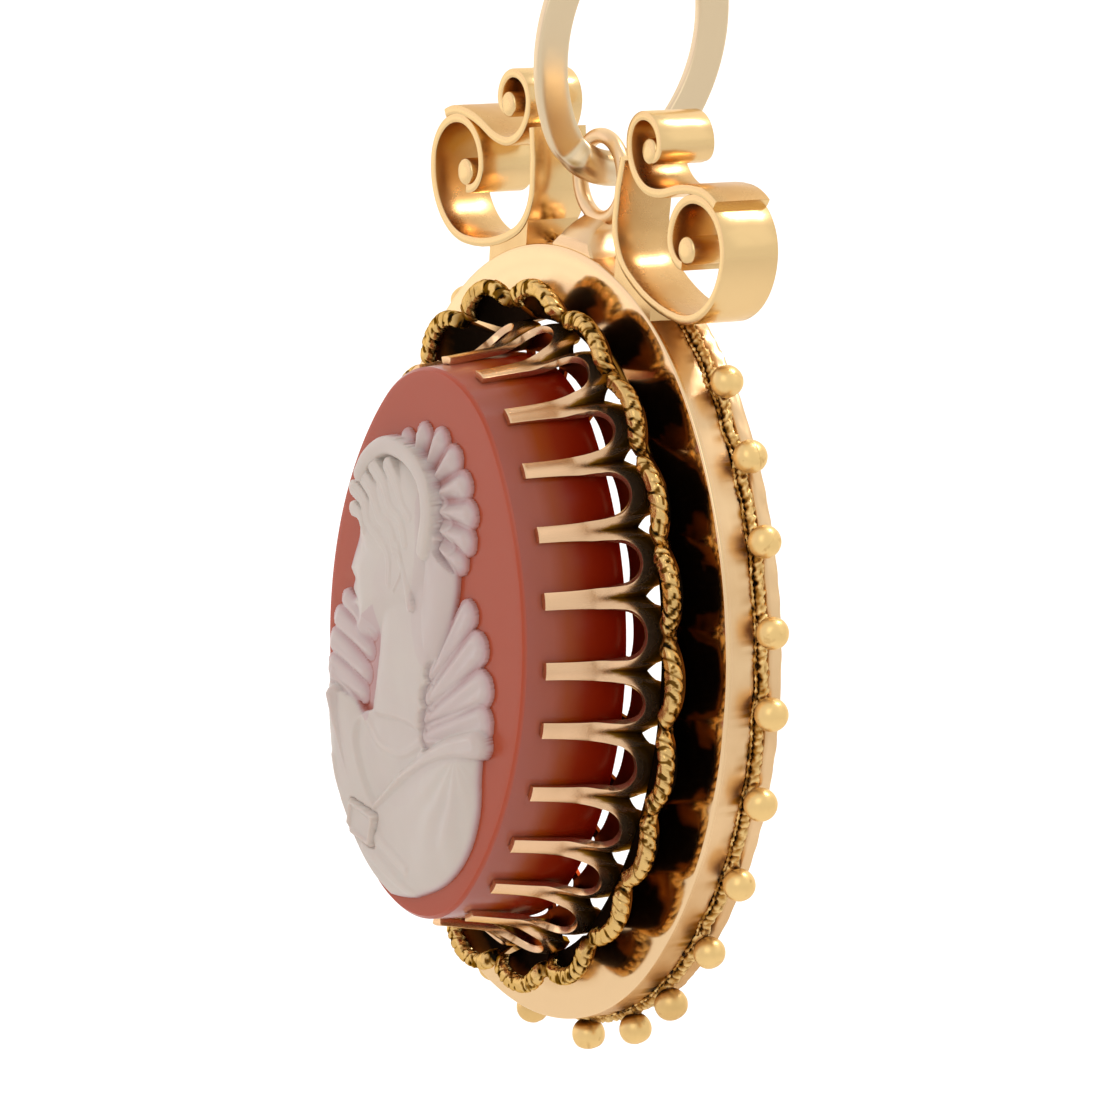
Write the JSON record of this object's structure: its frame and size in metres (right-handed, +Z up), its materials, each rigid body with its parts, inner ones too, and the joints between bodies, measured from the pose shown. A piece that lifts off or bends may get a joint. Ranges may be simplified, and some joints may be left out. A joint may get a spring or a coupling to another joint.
{
  "type": "cameo pendant",
  "caption": "Oval hardstone cameo pendant in a gold claw setting with a rope-edged scalloped border, beads, scrolls and a hanging bail.",
  "frame": {"origin": "top of the bail's inner edge, where a chain or cord carries the pendant", "axes": "+Z up, the front of the pendant looks along -Y, +X to the viewer's right"},
  "size_m": [0.0354, 0.0159, 0.057],
  "materials": {
    "agate_red": "polished red-brown banded agate, slightly translucent",
    "agate_white": "carved and matt-polished cream-white layer of the same agate",
    "gold_dark": "yellow gold, deeply oxidised in the recesses",
    "gold_polished": "polished yellow gold",
    "gold_beads": "polished beads over a milled wire with dark recesses",
    "gold_scrolls": "polished yellow gold ribbon",
    "gold_bail": "polished yellow gold strip and bar"
  },
  "bodies": {
    "bail": {"bail": "gold_bail"},
    "pendant": {"frame": "gold_polished", "stone": "agate_red", "relief": "agate_white", "claw_crown": "gold_dark", "scallop_border": "gold_dark", "bead_border": "gold_beads", "scroll_left": "gold_scrolls", "scroll_right": "gold_scrolls", "eyelet": "gold_polished"}
  },
  "joints": [
    {"name": "pendant_swing", "type": "hinge", "parent": "bail", "child": "pendant", "pos_m": [0, -0.00155, -0.00837], "axis": [1, 0, 0], "range_deg": [-35, 35]}
  ]
}
